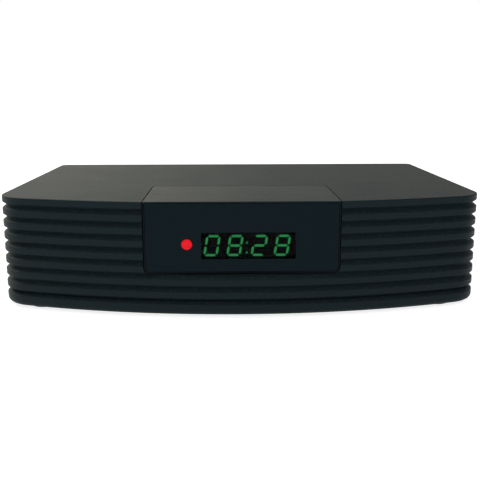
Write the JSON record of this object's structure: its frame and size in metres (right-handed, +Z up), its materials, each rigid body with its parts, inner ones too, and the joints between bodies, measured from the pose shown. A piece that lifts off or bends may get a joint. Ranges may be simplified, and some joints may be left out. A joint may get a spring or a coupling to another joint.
{
  "type": "satellite receiver",
  "caption": "Low set-top receiver with a bowed, ribbed wrap-round case, a hood with a clock display and a lamp, and a rear socket panel with a rocker switch.",
  "frame": {"origin": "on the surface it stands on, under the middle of the whole object's box", "axes": "+X to the right seen from the front, +Y from the front to the back, +Z up"},
  "size_m": [0.215, 0.163, 0.0505],
  "materials": {
    "brass_contact": "gold-flashed",
    "can_aluminium": "bright sleeve",
    "case_plastic": "fine satin moulding, black",
    "chip_epoxy": "matt black epoxy",
    "circuit_board": "green solder mask",
    "display_black": "matt black",
    "ferrite": "dark ferrite",
    "filter_glass": "polished dark acrylic",
    "foot_rubber": "matt black rubber",
    "hood_plastic": "fine satin moulding, black",
    "lamp_red": "clear red light pipe",
    "lead_sleeve": "PVC sleeve",
    "nickel": "nickel plate",
    "pad_soft": "soft grey pad",
    "panel_gloss": "polished, dark blue-grey",
    "rear_steel": "black powder coat",
    "ribbon_grey": "grey PVC",
    "rocker_gloss": "polished black",
    "screw_steel": "zinc plate",
    "segment_dark": "unlit",
    "segment_green": "lit green",
    "sink_aluminium": "natural extrusion",
    "socket_plastic": "black moulding",
    "tin_plate": "tinned steel",
    "white_nylon": "white nylon"
  },
  "bodies": {
    "root": {"av_jack": "socket_plastic", "board_screws": "screw_steel", "bottom_case": "case_plastic", "cable_headers": "white_nylon", "case_screws": "screw_steel", "crystal": "tin_plate", "dc_jack": "socket_plastic", "dc_pin": "nickel", "display_board": "circuit_board", "display_board_screws": "screw_steel", "display_filter": "filter_glass", "display_hood": "hood_plastic", "display_module": "display_black", "electrolytic_caps": "can_aluminium", "ethernet_contacts": "brass_contact", "ethernet_jack": "socket_plastic", "ethernet_transformer": "chip_epoxy", "front_panel": "panel_gloss", "hdmi_shell": "nickel", "hdmi_tongue": "socket_plastic", "heat_sink": "sink_aluminium", "hood_screws": "screw_steel", "ir_receiver": "chip_epoxy", "lead_header": "white_nylon", "lit_segments": "segment_green", "lnb_insulators": "white_nylon", "lnb_nuts": "nickel", "lnb_sockets": "nickel", "main_board": "circuit_board", "memory_chips": "chip_epoxy", "optical_socket": "socket_plastic", "power_inductors": "ferrite", "power_switch_frame": "socket_plastic", "rear_panel": "rear_steel", "ribbon_cable": "ribbon_grey", "rubber_feet": "foot_rubber", "soc_chip": "chip_epoxy", "standby_lamp": "lamp_red", "standby_led": "lamp_red", "switch_blades": "brass_contact", "switch_leads": "lead_sleeve", "thermal_pad": "pad_soft", "top_cover": "case_plastic", "tuner_can": "tin_plate", "tuner_lid": "tin_plate", "unlit_segments": "segment_dark", "usb_shell": "nickel", "usb_tongue": "white_nylon"},
    "rocker": {"power_rocker": "rocker_gloss"},
    "shutter": {"optical_shutter": "socket_plastic"}
  },
  "joints": [
    {"name": "rocker_tilt", "type": "hinge", "parent": "root", "child": "rocker", "pos_m": [-0.07794, 0.0689, 0.027], "axis": [0, 0, 1], "range_deg": [0, 18]},
    {"name": "shutter_swing", "type": "hinge", "parent": "root", "child": "shutter", "pos_m": [-0.03494, 0.0689, 0.0187], "axis": [-1, 0, 0], "range_deg": [0, 80], "stiffness_Nm_per_rad": 0.0002}
  ]
}
